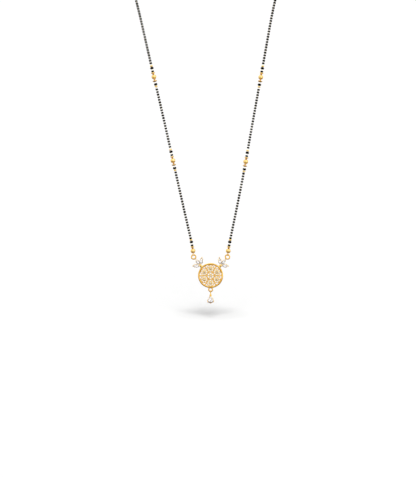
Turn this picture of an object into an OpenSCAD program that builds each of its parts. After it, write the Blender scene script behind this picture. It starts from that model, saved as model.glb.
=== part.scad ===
// Mangalsutra: a long necklace of two strings of small black beads with gold stations.
// The strings meet at a pierced round pendant with leaf-shaped stones and a hanging drop.
// It is drawn as it hangs when worn: the wearer faces -Y, +Z is up, and the origin is at
// the nape of the neck, where the clasp rests on the skin. All sizes are in millimetres.

/* [Pendant disc] */
// Outside diameter of the pierced disc
disc_d = 14.3; // [14.1:0.1:14.4]
// Diameter of the round wire of the rim
rim_wire_d = 1.0; // [0.95:0.05:1.05]
// Thickness of the pierced web
web_t = 0.5; // [0.4:0.1:0.6]
// Thickness of the ring round each rosette
ring_t = 0.8; // [0.7:0.1:0.9]
// Diameter of the small round stones in the disc
disc_stone_d = 0.86; // [0.8:0.02:0.9]

/* [Leaf sprigs] */
// Distance of a sprig's foot from the disc's centre, across and up alike
sprig_foot = 5.75; // [5.7:0.05:5.8]
// Radius of the boss at the foot of a sprig
foot_r = 0.75; // [0.7:0.05:0.8]
// Radius of the prongs beside a leaf stone
prong_r = 0.16; // [0.14:0.01:0.17]

/* [Drop] */
// Length of the pear-shaped drop stone
drop_long = 4.0; // [3.9:0.1:4.1]
// Width of the pear-shaped drop stone
drop_wide = 3.3; // [3.2:0.1:3.4]
// How far the drop's stone and basket sit back from its loop, so that the drop hangs plumb
drop_back = 0.18; // [0.15:0.01:0.25]

/* [Rings and loops] */
// Radius of a jump ring, to the middle of its wire
jump_r = 1.24; // [1.22:0.01:1.27]
// Wire radius of the jump rings and of the ring under the disc
jump_wire_r = 0.36; // [0.33:0.01:0.37]
// Radius of the small loops that hold a ring, to the middle of the wire
loop_r = 0.58; // [0.57:0.01:0.6]
// Wire radius of the small loops
loop_wire_r = 0.15; // [0.14:0.01:0.16]
// Radius of the ring under the disc, to the middle of its wire
under_r = 1.1; // [1.05:0.05:1.15]

/* [Beads] */
// Radius of the thread inside the beads
thread_r = 0.18; // [0.16:0.01:0.2]
// Radius of the hole through a bead
bore_r = 0.3; // [0.29:0.01:0.32]
// Radius of the small black beads that make the strings
seed_r = 0.8; // [0.74:0.02:0.84]
// Radius of a gold ball
ball_r = 1.38; // [1.3:0.02:1.4]

/* [Clasp] */
// Length of the barrel clasp
clasp_long = 8.6; // [8.4:0.1:8.8]
// Radius of the barrel clasp
clasp_r = 1.5; // [1.4:0.1:1.6]

/* [Hidden] */
$fn = 48;

LEFT = -1;
RIGHT = 1;
GOLD = "goldenrod";
STONE = "whitesmoke";
BLACK = "black";

// Clearance between two pieces, depth to which soldered pieces run into each other, and a
// thickness that stands for a sharp edge
gap = 0.04;
solder = 0.15;
thin = 0.02;

// Disc layout: six rosettes stand round a seventh, each touching its neighbours and the rim.
// A small grain fills each gap next to the middle, and a larger one each gap at the rim.
around = 6;
rim_inner_r = disc_d / 2 - rim_wire_d;
rosette_at = (rim_inner_r + solder / 2) / 1.5;
rosette_r = (rosette_at + solder) / 2;
inner_grain_at = rosette_at / sqrt(3);
inner_grain_r = 0.36;
outer_grain_at = 4.8;
outer_grain_r = 0.5;
collet_top = 0.75;
collet_r = disc_stone_d / 2 + gap + 0.15;
pocket_deep = 0.6;
disc_girdle_z = 0.62;

// Petal holes, as shares of the rosette's radius: number, distance and radius of a round
// hole, then distance and radius of the smaller round that makes it a petal
OUTER_PETALS = [8, 0.66, 0.165, 0.58, 0.1];
CENTRE_PETALS = [6, 0.63, 0.2, 0.52, 0.12];

// Leaf stones of the right sprig: angle from +X, distance of the near end from the foot,
// length, width, radius of the prong at the tip
LEAVES = [
    [100, 1.05, 3.45, 1.8, 0.27],
    [52, 1.25, 2.9, 1.65, 0.17],
    [-3, 0.9, 3.2, 1.85, 0.27]
];
LEAF_NAMES = ["upper", "middle", "lower"];
leaf_point = 0.4;
leaf_girdle_z = 0.35;
leaf_crown = 0.35;
leaf_pavilion = 0.85;
side_prong_turn = 60;
prong_bottom = -0.4;
prong_above = 0.22;

// Basket under a stone, as shares of the stone's outline, and the heights of its rail
rail_outer = 1.12;
rail_inner = 0.72;
rail_low = -0.4;
rail_high = -0.05;

// Drop, with the places measured up from the disc's centre
under_sunk = 0.61;
under_z = -(disc_d / 2 + under_r + jump_wire_r - under_sunk);
pivot_z = under_z - under_r;
drop_loop_r = 0.57;
cap_top_z = pivot_z - drop_loop_r;
cap_long = 2.2;
cap_top_r = 0.26;
cap_low_r = 0.7;
tip_in_cap = 0.25;
drop_point = 1.4;
drop_crown = 0.5;
drop_pavilion = 1.1;
drop_girdle_z = 0.45;
drop_top_z = cap_top_z - cap_long + tip_in_cap;
drop_mid_z = drop_top_z - drop_long / 2;
DROP_PRONG_TURNS = [133, 180, 227];
drop_prong_r = 0.24;

// Route of the right string, from the jump ring's centre up the chest and round the neck
// to the clasp: across, forward or back, up, and the share of the sideways sway
ROUTE = [
    [9.6, -112, -201.3, 1],
    [10.7, -112, -193.6, 1],
    [14.9, -111.7, -174, 0.93],
    [19.2, -110.5, -153.6, 0.83],
    [25.3, -106.5, -123.5, 0.6],
    [32, -99.8, -91.6, 0.32],
    [38, -91, -63.5, 0.09],
    [43.2, -81, -44, 0],
    [47.8, -68, -29.5, 0],
    [50.6, -54, -19, 0],
    [51, -40, -12, 0],
    [47, -25.5, -7, 0],
    [38.5, -12.5, -3, 0],
    [26.5, -4, -1, 0],
    [14.5, 0.3, 0, 0],
    [6, 1.5, 0, 0],
    [3, 1.5, 0, 0]
];
// The pendant hangs this far to the right of the nape
sway = 3;
steps_per_row = 12;

// The pendant hangs from the two jump rings
jump_x = ROUTE[0].x;
jump_z = 10.7;
PENDANT = [sway, ROUTE[0].y, ROUTE[0].z - jump_z];

// Stations: places of the gold balls along a string, counted from the jump ring's centre
BALLS_LEFT = [3.5, 56.1, 104.8];
BALLS_RIGHT = [3.5, 55.2, 103.9];
balls = function(side) side < 0 ? BALLS_LEFT : BALLS_RIGHT;
last_ball = len(BALLS_LEFT) - 1;
// Pieces above and below a ball, as distances from its centre
flange_above = 2.3;
small_black_above = 3.25;
large_black_above = 5.1;
seed_above = 6.35;
flange_below = 2.45;
large_black_below = 4.35;
seed_below = 5.6;

// Bead sizes: radius, thickness
LARGE_BLACK = [1.0, 1.25];
SMALL_BLACK = [0.82, 0.95];
GOLD_SEED = [0.82, 0.95];
FLANGE_ABOVE = [1.15, 0.7];
FLANGE_BELOW = [1.3, 0.95];
collar_r = 0.55;
collar_reach = 0.45;
// Radius of a rondelle's rounded corners, as a share of its own radius
rondelle_corner = 0.4;

// Runs of small black beads, one above each ball, to the beads' outer faces: how far a run
// starts above its ball and ends below the next one. The last run goes on to the clasp.
RUN_STARTS = [6.9, 7.5, 7.5];
RUN_ENDS = [6.4, 6.85];
thread_start = 5;
clasp_reach = 1.8;
tube_sides = 8;
// Distance between the rings of the string's tube, on the chest and round the neck
ring_step_chest = 13;
ring_step_neck = 6.2;
neck_start = 165;
// A direction that no part of a string runs along
SIDE_VIEW = [0, 0.88, -0.47];

side_name = function(side) side < 0 ? "left" : "right";

// Route of a string: a smooth curve through the rows, with the length run so far
function between(a, b, c, d, t) =
    0.5 * (2 * b + (c - a) * t + (2 * a - 5 * b + 4 * c - d) * t * t
           + (3 * b - a - 3 * c + d) * t * t * t);
function row_point(side, i) = [side * ROUTE[i][0] + sway * ROUTE[i][3], ROUTE[i][1], ROUTE[i][2]];
function route_point(side, i) =
    i < 0 ? 2 * row_point(side, 0) - row_point(side, 1)
    : i >= len(ROUTE) ? 2 * row_point(side, len(ROUTE) - 1) - row_point(side, len(ROUTE) - 2)
    : row_point(side, i);
function curve(side) = [
    for (i = [0 : len(ROUTE) - 2])
        for (j = [0 : steps_per_row - 1])
            between(route_point(side, i - 1), route_point(side, i), route_point(side, i + 1),
                    route_point(side, i + 2), j / steps_per_row),
    route_point(side, len(ROUTE) - 1)
];
function run_lengths(points) = [
    for (i = 0, s = 0;
         i < len(points);
         s = s + (i + 1 < len(points) ? norm(points[i + 1] - points[i]) : 0), i = i + 1) s
];
function tables(points) =
    let (s = run_lengths(points))
    [for (axis = [0 : 2]) [for (i = [0 : len(points) - 1]) [s[i], points[i][axis]]]];
TRACK_LEFT = tables(curve(LEFT));
TRACK_RIGHT = tables(curve(RIGHT));
function track(side) = side < 0 ? TRACK_LEFT : TRACK_RIGHT;
function string_length(side) = track(side)[0][len(track(side)[0]) - 1][0];
function spot(side, s) = [for (table = track(side)) lookup(s, table)];
function heading(side, s) =
    let (step = 0.5, way = spot(side, s + step) - spot(side, s - step))
    way / norm(way);

// Outline of a cut stone: a circle or oval where point is 0, a pear with its tip towards
// +X where it is more
function outline_peak(point) =
    2 / sqrt(2 + point) * pow((1 + point) / (2 + point), (1 + point) / 2);
function outline_point(long, wide, point, turn) = [
    long / 2 * cos(turn),
    wide / 2 * sin(turn) * pow(abs(sin(turn / 2)), point) / outline_peak(point)
];
function outline(long, wide, point, sides) =
    [for (i = [0 : sides - 1]) outline_point(long, wide, point, 360 * i / sides)];
// Place beside the outline, a distance away from it
function beside(long, wide, point, turn, away) =
    let (here = outline_point(long, wide, point, turn),
         step = outline_point(long, wide, point, turn + 0.5) - outline_point(long, wide, point, turn - 0.5))
    here + away * [step.y, -step.x] / norm(step);

module on_pendant() { translate(PENDANT) rotate([90, 0, 0]) children(); }
module bead_at(side, s) {
    way = heading(side, s);
    translate(spot(side, s)) rotate([0, acos(way.z), atan2(way.y, way.x)]) children();
}
module flat_disc(r, t) { cylinder(r = r, h = t, center = true); }
module wire_ring(r, wire_r) { rotate_extrude() translate([r, 0]) circle(r = wire_r); }

// A cut stone with its girdle at height 0, its table above and its keel below
module cut_stone(long, wide, point, crown, pavilion, sides) {
    table_share = 0.56;
    keel_share = 0.1;
    girdle = 0.08;
    color(STONE) hull() {
        translate([0, 0, crown - thin]) linear_extrude(thin)
            polygon(outline(long * table_share, wide * table_share, point, sides));
        translate([0, 0, -girdle / 2]) linear_extrude(girdle)
            polygon(outline(long, wide, point, sides));
        translate([0, 0, -pavilion]) linear_extrude(thin)
            polygon(outline(long * keel_share, wide * keel_share, point, sides));
    }
}

// The rail under a stone, that its prongs stand on
module stone_rail(long, wide, point) {
    sides = 24;
    translate([0, 0, rail_low]) linear_extrude(rail_high - rail_low) difference() {
        polygon(outline(long * rail_outer, wide * rail_outer, point, sides));
        polygon(outline(long * rail_inner, wide * rail_inner, point, sides));
    }
}
module prong(place, r, top) {
    translate([place.x, place.y, prong_bottom]) cylinder(r = r, h = top - prong_bottom);
    translate([place.x, place.y, top]) sphere(r = r);
}

module petal_holes(petals) {
    for (i = [0 : petals[0] - 1]) rotate(i * 360 / petals[0]) {
        translate([petals[1] * rosette_r, 0, 0]) flat_disc(petals[2] * rosette_r, 3);
        translate([petals[3] * rosette_r, 0, 0]) flat_disc(petals[4] * rosette_r, 3);
    }
}
module rosette(petals) {
    ring_w = 0.3;
    difference() {
        union() {
            flat_disc(rosette_r, web_t);
            difference() {
                flat_disc(rosette_r, ring_t);
                flat_disc(rosette_r - ring_w, ring_t + 1);
            }
            translate([0, 0, -web_t / 2]) cylinder(r = collet_r, h = collet_top + web_t / 2);
        }
        petal_holes(petals);
        translate([0, 0, collet_top - pocket_deep])
            cylinder(r = disc_stone_d / 2 + gap, h = pocket_deep + 1);
    }
}
module grain(r) { translate([0, 0, 0.1]) sphere(r = r); }
module pierced_disc() {
    wire_ring(disc_d / 2 - rim_wire_d / 2, rim_wire_d / 2);
    rotate(90) rosette(CENTRE_PETALS);
    for (i = [0 : around - 1]) {
        rotate(30 + i * 360 / around) translate([rosette_at, 0, 0]) rosette(OUTER_PETALS);
        rotate(i * 360 / around) translate([inner_grain_at, 0, 0]) grain(inner_grain_r);
        rotate(i * 360 / around) translate([outer_grain_at, 0, 0]) grain(outer_grain_r);
    }
}

// One sprig's metal, drawn for the right side
module leaf_place(leaf) {
    translate([sprig_foot, sprig_foot, 0]) rotate(leaf[0])
        translate([leaf[1] + leaf[2] / 2, 0, 0]) children();
}
module leaf_setting(leaf) {
    long = leaf[2];
    wide = leaf[3];
    top = leaf_girdle_z + prong_above;
    stem_r = 0.18;
    stem_from = 0.5;
    leaf_place(leaf) {
        stone_rail(long, wide, leaf_point);
        for (turn = [-side_prong_turn, side_prong_turn])
            prong(beside(long, wide, leaf_point, turn, prong_r + gap), prong_r, top);
        prong([long / 2 + leaf[4] + gap, 0], leaf[4], top);
        translate([stem_from - long / 2 - leaf[1], 0, -0.25]) rotate([0, 90, 0])
            cylinder(r = stem_r, h = leaf[1] + 0.3 - stem_from);
    }
}
module sprig() {
    foot_t = 1;
    bridge_r = 0.85;
    bridge_t = 0.7;
    bridge_at = sprig_foot - 0.5;
    to_foot = [sprig_foot - jump_x, sprig_foot - jump_z];
    for (leaf = LEAVES) leaf_setting(leaf);
    translate([sprig_foot, sprig_foot, 0]) flat_disc(foot_r, foot_t);
    translate([bridge_at, bridge_at, 0]) flat_disc(bridge_r, bridge_t);
    translate([jump_x, jump_z, 0]) rotate(atan2(to_foot.y, to_foot.x))
        translate([jump_r, 0, 0]) rotate([90, 0, 0]) wire_ring(loop_r, loop_wire_r);
}

module pendant_frame() {
    color(GOLD) on_pendant() {
        pierced_disc();
        sprig();
        mirror([1, 0, 0]) sprig();
        translate([0, under_z, 0]) wire_ring(under_r, jump_wire_r);
    }
}
module disc_stone() {
    translate([0, 0, disc_girdle_z]) cut_stone(disc_stone_d, disc_stone_d, 0, 0.16, 0.38, 10);
}
module centre_stone() { on_pendant() disc_stone(); }
module rosette_stone(i) {
    on_pendant() rotate(90 - (i - 1) * 360 / around) translate([rosette_at, 0, 0]) disc_stone();
}
module leaf_stone(side, i) {
    leaf = LEAVES[i];
    on_pendant() mirror([side < 0 ? 1 : 0, 0, 0]) leaf_place(leaf)
        translate([0, 0, leaf_girdle_z])
            cut_stone(leaf[2], leaf[3], leaf_point, leaf_crown, leaf_pavilion, 14);
}

// The drop's parts, drawn with +X up along the drop and the girdle to the front
module on_drop() {
    on_pendant() translate([0, drop_mid_z, -drop_back]) rotate(90) children();
}
module drop_stone() {
    on_drop() translate([0, 0, drop_girdle_z])
        cut_stone(drop_long, drop_wide, drop_point, drop_crown, drop_pavilion, 16);
}
module drop_setting() {
    pocket_r = 0.5;
    pocket_high = tip_in_cap + 0.15;
    top = drop_girdle_z + prong_above + 0.1;
    color(GOLD) {
        difference() {
            union() {
                on_pendant() translate([0, pivot_z, 0]) rotate([0, 90, 0])
                    wire_ring(drop_loop_r, loop_wire_r);
                on_pendant() translate([0, cap_top_z, 0]) rotate([90, 0, 0])
                    cylinder(r1 = cap_top_r, r2 = cap_low_r, h = cap_long);
                on_drop() stone_rail(drop_long, drop_wide, drop_point);
            }
            on_pendant() translate([0, cap_top_z - cap_long + pocket_high, 0]) rotate([90, 0, 0])
                cylinder(r = pocket_r, h = pocket_high + 0.3);
        }
        on_drop() for (turn = DROP_PRONG_TURNS)
            prong(beside(drop_long, drop_wide, drop_point, turn, drop_prong_r + gap),
                  drop_prong_r, top);
    }
}

module jump_ring(side) {
    color(GOLD) on_pendant() translate([side * jump_x, jump_z, 0])
        wire_ring(jump_r, jump_wire_r);
}
// The wire loop at the end of a string hooks round the jump ring, and its stem runs up
// through the first gold ball
module end_loop(side) {
    stem_end = thread_start - 0.15;
    color(GOLD) bead_at(side, jump_r) {
        rotate([0, 90, 0]) wire_ring(loop_r, loop_wire_r);
        translate([0, 0, loop_r]) cylinder(r = loop_wire_r, h = stem_end - jump_r - loop_r);
    }
}

module drilled(r, t) {
    rotate_extrude() intersection() {
        union() {
            translate([0, -t / 2]) square([r - t / 2, t]);
            translate([r - t / 2, 0]) circle(r = t / 2);
        }
        translate([bore_r, -t]) square([r, 2 * t]);
    }
}
// A rondelle is thick for its width, so only its corners are rounded
module rondelle(size) {
    r = size[0];
    half = size[1] / 2;
    corner_r = rondelle_corner * r;
    rotate_extrude() {
        translate([bore_r, -half]) square([r - corner_r - bore_r, 2 * half]);
        translate([bore_r, corner_r - half]) square([r - bore_r, 2 * (half - corner_r)]);
        for (end = [-1, 1]) intersection() {
            translate([r - corner_r, end * (half - corner_r)]) circle(r = corner_r);
            translate([bore_r, -2 * half]) square([r, 4 * half]);
        }
    }
}
module gold_ball(side, i) {
    color(GOLD) bead_at(side, balls(side)[i]) difference() {
        sphere(r = ball_r);
        flat_disc(bore_r, 4 * ball_r);
    }
}
// A flange is a round-edged disc with a collar that reaches towards its ball
module gold_flange(side, s, size, towards) {
    color(GOLD) bead_at(side, s) difference() {
        union() {
            drilled(size[0], size[1]);
            translate([0, 0, towards * (size[1] + collar_reach) / 2])
                flat_disc(collar_r, collar_reach + solder);
        }
        flat_disc(bore_r, 4);
    }
}
// Flanges counted up the string: 1 is above the first ball, then 2 below and 3 above the
// second ball, and so on
module numbered_flange(side, i) {
    ball = balls(side)[floor(i / 2)];
    if (i % 2 == 0) gold_flange(side, ball - flange_below, FLANGE_BELOW, 1);
    else gold_flange(side, ball + flange_above, FLANGE_ABOVE, -1);
}
module gold_seeds(side) {
    color(GOLD) for (i = [0 : last_ball]) {
        bead_at(side, balls(side)[i] + seed_above) rondelle(GOLD_SEED);
        if (i > 0) bead_at(side, balls(side)[i] - seed_below) rondelle(GOLD_SEED);
    }
}
module black_rondelles(side) {
    color(BLACK) for (i = [0 : last_ball]) {
        bead_at(side, balls(side)[i] + small_black_above) rondelle(SMALL_BLACK);
        bead_at(side, balls(side)[i] + large_black_above) rondelle(LARGE_BLACK);
        if (i > 0) bead_at(side, balls(side)[i] - large_black_below) rondelle(LARGE_BLACK);
    }
}

// A string as one tube: as thick as its small black beads along each run of them, and as
// thin as the bare thread through the stations
function tube_rings(side) =
    let (end = string_length(side))
    concat([[thread_start, thread_r]],
           [for (i = [0 : last_ball])
                let (from = balls(side)[i] + RUN_STARTS[i],
                     to = i < last_ball ? balls(side)[i + 1] - RUN_ENDS[i] : end - clasp_reach,
                     knee = min(max(neck_start, from), to),
                     low = ceil((knee - from) / ring_step_chest),
                     high = ceil((to - knee) / ring_step_neck))
                for (ring = concat(
                         [[from, thread_r]],
                         [for (i = [0 : 1 : low]) [from + (knee - from) * i / max(low, 1), seed_r]],
                         [for (i = [1 : 1 : high]) [knee + (to - knee) * i / high, seed_r]],
                         [[to, thread_r]])) ring],
           [[end, thread_r]]);
function tube_ring(side, s, r) =
    let (way = heading(side, s), across = cross(way, SIDE_VIEW) / norm(cross(way, SIDE_VIEW)),
         third = cross(way, across))
    [for (i = [0 : tube_sides - 1])
        spot(side, s) + r * (cos(360 * i / tube_sides) * across + sin(360 * i / tube_sides) * third)];
module bead_string(side) {
    rings = tube_rings(side);
    n = tube_sides;
    last = len(rings) - 1;
    points = [for (ring = rings) for (p = tube_ring(side, ring[0], ring[1])) p];
    faces = concat(
        [[for (i = [0 : n - 1]) i]],
        [for (k = [0 : last - 1]) for (i = [0 : n - 1])
            [k * n + i, (k + 1) * n + i, (k + 1) * n + (i + 1) % n]],
        [for (k = [0 : last - 1]) for (i = [0 : n - 1])
            [k * n + i, (k + 1) * n + (i + 1) % n, k * n + (i + 1) % n]],
        [[for (i = [n - 1 : -1 : 0]) last * n + i]]);
    color(BLACK) polyhedron(points = points, faces = faces);
}

module clasp() {
    bore_deep = 1.9;
    color(GOLD) translate([0, clasp_r, 0]) rotate([0, 90, 0]) difference() {
        rotate_extrude() {
            translate([0, -clasp_long / 2]) square([clasp_r - 0.5, clasp_long]);
            translate([0, 0.5 - clasp_long / 2]) square([clasp_r, clasp_long - 1]);
            for (end = [-1, 1])
                translate([clasp_r - 0.5, end * (clasp_long / 2 - 0.5)]) circle(r = 0.5);
        }
        for (end = [-1, 1])
            translate([0, 0, end * clasp_long / 2]) flat_disc(bore_r, 2 * bore_deep);
    }
}

pendant_frame();
centre_stone();
for (i = [1 : around])
    rosette_stone(i);
for (side = [LEFT, RIGHT]) for (i = [0 : len(LEAF_NAMES) - 1])
    leaf_stone(side, i);
drop_setting();
drop_stone();
for (side = [LEFT, RIGHT]) {
    name = side_name(side);
    jump_ring(side);
    end_loop(side);
    for (i = [1 : last_ball + 1])
        gold_ball(side, i - 1);
    for (i = [1 : 5])
        numbered_flange(side, i);
    gold_seeds(side);
    black_rondelles(side);
    bead_string(side);
}
clasp();
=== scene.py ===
# %% [markdown]
# # A mangalsutra in brass, black beads and clear stones
# This notebook dresses a necklace that is already measured and drawn as plain solids. The
# solids come in as a fixed frame, in metres, and each one is replaced by a finished piece.
# The order is: frame, camera, light, finishes, then the strings, the pendant and the drop.

# %% Load the frame and keep its box
import math
import random

import bmesh
import bpy
from mathutils import Matrix, Vector


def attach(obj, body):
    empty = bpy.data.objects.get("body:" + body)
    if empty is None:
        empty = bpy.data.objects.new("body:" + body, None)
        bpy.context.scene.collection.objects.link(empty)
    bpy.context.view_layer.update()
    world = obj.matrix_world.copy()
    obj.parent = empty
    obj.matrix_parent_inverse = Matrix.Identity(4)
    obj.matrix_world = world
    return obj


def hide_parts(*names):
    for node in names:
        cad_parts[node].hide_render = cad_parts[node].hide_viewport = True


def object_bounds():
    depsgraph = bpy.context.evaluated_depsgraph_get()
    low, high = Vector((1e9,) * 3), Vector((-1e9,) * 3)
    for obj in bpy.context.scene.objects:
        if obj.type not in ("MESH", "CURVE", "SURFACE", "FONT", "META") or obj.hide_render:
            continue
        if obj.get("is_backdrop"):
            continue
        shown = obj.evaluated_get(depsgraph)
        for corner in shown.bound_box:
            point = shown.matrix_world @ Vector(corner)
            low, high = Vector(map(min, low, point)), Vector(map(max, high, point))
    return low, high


MM = 0.001
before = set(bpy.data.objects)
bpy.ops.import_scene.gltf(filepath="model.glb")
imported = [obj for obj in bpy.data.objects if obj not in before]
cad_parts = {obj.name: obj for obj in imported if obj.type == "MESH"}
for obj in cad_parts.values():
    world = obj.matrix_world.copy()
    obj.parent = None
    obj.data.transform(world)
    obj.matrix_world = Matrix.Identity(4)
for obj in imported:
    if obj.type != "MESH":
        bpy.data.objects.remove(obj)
cad_box = [list(corner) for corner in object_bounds()]

# %% [markdown]
# ## The camera
# The necklace was photographed from far away with a long lens, a little from above, so
# that its two strings look flat and the floor shows behind the drop. A short lens close by
# would make the pendant bulge. The middle of the disc is the point that ties the picture
# to the object: its pixel and its place are both known.

# %% Place the camera
DISC_MIDDLE = Vector((3, -112, -212)) * MM
PHOTO_WIDE = 416
PHOTO_HIGH = 477
DISC_ACROSS_PX = 210.6
DISC_DOWN_PX = 275.6
PIXEL = 0.567 * MM
CAMERA_RISE = math.radians(8)
CAMERA_FAR = 2.4
SENSOR_MM = 24

aim = DISC_MIDDLE + Vector((
    (PHOTO_WIDE / 2 - DISC_ACROSS_PX) * PIXEL,
    0,
    (DISC_DOWN_PX - PHOTO_HIGH / 2) * PIXEL / math.cos(CAMERA_RISE),
))
camera_data = bpy.data.cameras.new("camera")
camera_data.sensor_fit = "VERTICAL"
camera_data.sensor_height = SENSOR_MM
camera_data.lens = SENSOR_MM * CAMERA_FAR / (PHOTO_HIGH * PIXEL)
camera_data.clip_start = 0.01
camera = bpy.data.objects.new("camera", camera_data)
camera.location = aim + CAMERA_FAR * Vector((0, -math.cos(CAMERA_RISE), math.sin(CAMERA_RISE)))
camera.rotation_euler = (math.radians(90) - CAMERA_RISE, 0, 0)
bpy.context.scene.collection.objects.link(camera)
bpy.context.scene.camera = camera
print("camera looks at", [round(c, 4) for c in aim], "through", round(camera_data.lens), "mm")

# %% [markdown]
# ## Sums that read like sums
# A finish is a small network of nodes. Written node by node it hides its own idea, so one
# class wraps a socket and lets Python's plus and times add the Math nodes. Every other
# node comes from one method, which takes the node's type, its settings and its inputs.

# %% A socket that can be added and multiplied
class Value:
    """One output socket, which takes part in sums as a number does."""

    def __init__(self, recipe, socket):
        self.recipe = recipe
        self.socket = socket

    def sum(self, operation, *terms):
        return self.recipe.add("ShaderNodeMath", {"operation": operation}, terms)

    def __add__(self, other):
        return self.sum("ADD", self, other)

    def __mul__(self, other):
        return self.sum("MULTIPLY", self, other)

    def __sub__(self, other):
        return self.sum("SUBTRACT", self, other)

    def __rsub__(self, other):
        return self.sum("SUBTRACT", other, self)

    __radd__ = __add__

    def size(self):
        return self.sum("ABSOLUTE", self)

    def clear_below_nought(self):
        return self.sum("MAXIMUM", self, 0.0)

    def ramp(self, low, high, at_low=0.0, at_high=1.0):
        """Runs smoothly from one value to another as this one goes from low to high."""
        return self.recipe.add(
            "ShaderNodeMapRange",
            {"interpolation_type": "SMOOTHSTEP"},
            {"Value": self, "From Min": low, "From Max": high, "To Min": at_low, "To Max": at_high},
        )


# %% A recipe that makes the nodes
class Recipe:
    """The node tree of one finish, or of the sky round the object."""

    def __init__(self, tree):
        self.tree = tree
        tree.nodes.clear()

    def add(self, kind, settings=None, inputs=None, output=0):
        """Makes a node, sets it up, joins its inputs and gives back one output."""
        node = self.tree.nodes.new(kind)
        for name, value in (settings or {}).items():
            setattr(node, name, value)
        named = inputs.items() if isinstance(inputs, dict) else enumerate(inputs or ())
        for name, value in named:
            if isinstance(value, Value):
                self.tree.links.new(value.socket, node.inputs[name])
            else:
                node.inputs[name].default_value = value
        return Value(self, node.outputs[output]) if node.outputs else None

    def mix_colour(self, share, first, second):
        """Blends two colours by a share."""
        factor, colour_a, colour_b, result = 0, 6, 7, 2
        return self.add(
            "ShaderNodeMix", {"data_type": "RGBA"},
            {factor: share, colour_a: first, colour_b: second}, result,
        )

    def place(self):
        """Object coordinates, in millimetres."""
        here = self.add("ShaderNodeTexCoord", output=3)
        return self.add("ShaderNodeVectorMath", {"operation": "SCALE"}, {0: here, "Scale": 1 / MM})

    def noise(self, place, per_mm, detail=2.0, rough=0.5):
        """Soft random grain, with so many lumps to a millimetre."""
        return self.add(
            "ShaderNodeTexNoise", None,
            {"Vector": place, "Scale": per_mm, "Detail": detail, "Roughness": rough},
        )

    def bump(self, height, deep_mm):
        """Turns a height into a slope of the surface."""
        return self.add("ShaderNodeBump", None, {"Height": height, "Distance": deep_mm * MM})

    def coat(self, inputs):
        """Ends a finish with the usual surface, which takes these inputs."""
        surface = self.add("ShaderNodeBsdfPrincipled", None, inputs)
        self.add("ShaderNodeOutputMaterial", None, {"Surface": surface})


def new_finish(name):
    """An empty finish and the recipe that fills it."""
    material = bpy.data.materials.new(name)
    material.use_nodes = True
    return material, Recipe(material.node_tree)


print("helpers for nodes are ready")

# %% [markdown]
# ## Light and floor
# The picture has a white ground and one soft shadow under the drop. The floor is lit to
# just over white and no further: a brighter one would wash out thread and thin wire, which
# fill less than a pixel. Bright metal only shows its form when it mirrors something dark as
# well, so what it sees is a studio with a bright wall on the right, a duller one on the
# left, a gap between them where the camera stands, a bright ceiling and a dim floor. The
# dim parts are warm, as a room round a white table is, and that makes the gold rich where
# it is dark and pale where it shines. A cut stone sends what it sees back facet by facet,
# so the stones see a white tent with grey patches, or they would turn one flat grey.

# %% The studio that the metal mirrors
SKY_WHITE = (1.0, 1.0, 1.0, 1.0)
WARM = (1.0, 0.78, 0.5, 1.0)
STUDIO_LEVEL = 0.95
CEILING_MORE = 0.35
RIGHT_WALL_MORE = 0.4
CAMERA_GAP_LESS = 0.1
FLOOR_LESS = 0.65
PATCH_SCALE = 3.5
STONES_DARKEST = 0.1
STONES_BRIGHTEST = 1.25

world = bpy.data.worlds.new("studio")
world.use_nodes = True
bpy.context.scene.world = world
sky = Recipe(world.node_tree)
look = sky.add("ShaderNodeTexCoord")
axes = sky.add("ShaderNodeSeparateXYZ", None, {0: look})
to_right, to_back, to_top = (Value(sky, s) for s in axes.socket.node.outputs)

in_front = to_back.ramp(-0.1, -0.5)
camera_gap = in_front * to_right.size().ramp(0.3, 0.14)
right_wall = in_front * to_right.ramp(0.25, 0.5)
ceiling = to_top.ramp(0.45, 0.8)
below = to_top.ramp(-0.15, -0.5)
for_metal = STUDIO_LEVEL + ceiling * CEILING_MORE + right_wall * RIGHT_WALL_MORE
for_metal = for_metal - camera_gap * CAMERA_GAP_LESS
for_metal = for_metal * (1 - below * FLOOR_LESS)
metal_tone = sky.mix_colour(for_metal.ramp(0.55, 1.2), WARM, SKY_WHITE)
patches = sky.noise(look, PATCH_SCALE, 0.0)
for_stones = patches.ramp(0.4, 0.6, STONES_DARKEST, STONES_BRIGHTEST)

GROUND_WHITE = 1.02
SOFT_FILL = 1.1
CAMERA_RAY = 0
GLOSSY_RAY = 3
TRANSMISSION_RAY = 6
light_path = sky.add("ShaderNodeLightPath").socket.node.outputs


def sky_light(colour, strength):
    """One of the skies."""
    return sky.add("ShaderNodeBackground", None, {"Color": colour, "Strength": strength})


def seen_by(ray, others, own):
    """Shows one kind of ray its own sky, and the others theirs."""
    share = Value(sky, light_path[ray])
    return sky.add("ShaderNodeMixShader", None, {0: share, 1: others, 2: own})


shown = seen_by(GLOSSY_RAY, sky_light(SKY_WHITE, SOFT_FILL), sky_light(metal_tone, for_metal))
shown = seen_by(TRANSMISSION_RAY, shown, sky_light(SKY_WHITE, for_stones))
shown = seen_by(CAMERA_RAY, shown, sky_light(SKY_WHITE, GROUND_WHITE))
sky.add("ShaderNodeOutputWorld", None, {"Surface": shown})

# %% Sun and floor
FLOOR_UNDER_DISC = 25.4 * MM
FLOOR_HALF = 8
FLOOR_GREY = 0.403
SUN_RISE = math.radians(40)
SUN_TURN = math.radians(4)
SUN_STRENGTH = 7.0
SUN_SOFTNESS = math.radians(30)
sun_data = bpy.data.lights.new("key_light", "SUN")
sun_data.energy = SUN_STRENGTH
sun_data.angle = SUN_SOFTNESS
sun = bpy.data.objects.new("key_light", sun_data)
sun.rotation_euler = (math.radians(90) - SUN_RISE, 0, SUN_TURN)
sun.visible_glossy = False
sun.visible_transmission = False
bpy.context.scene.collection.objects.link(sun)


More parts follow.
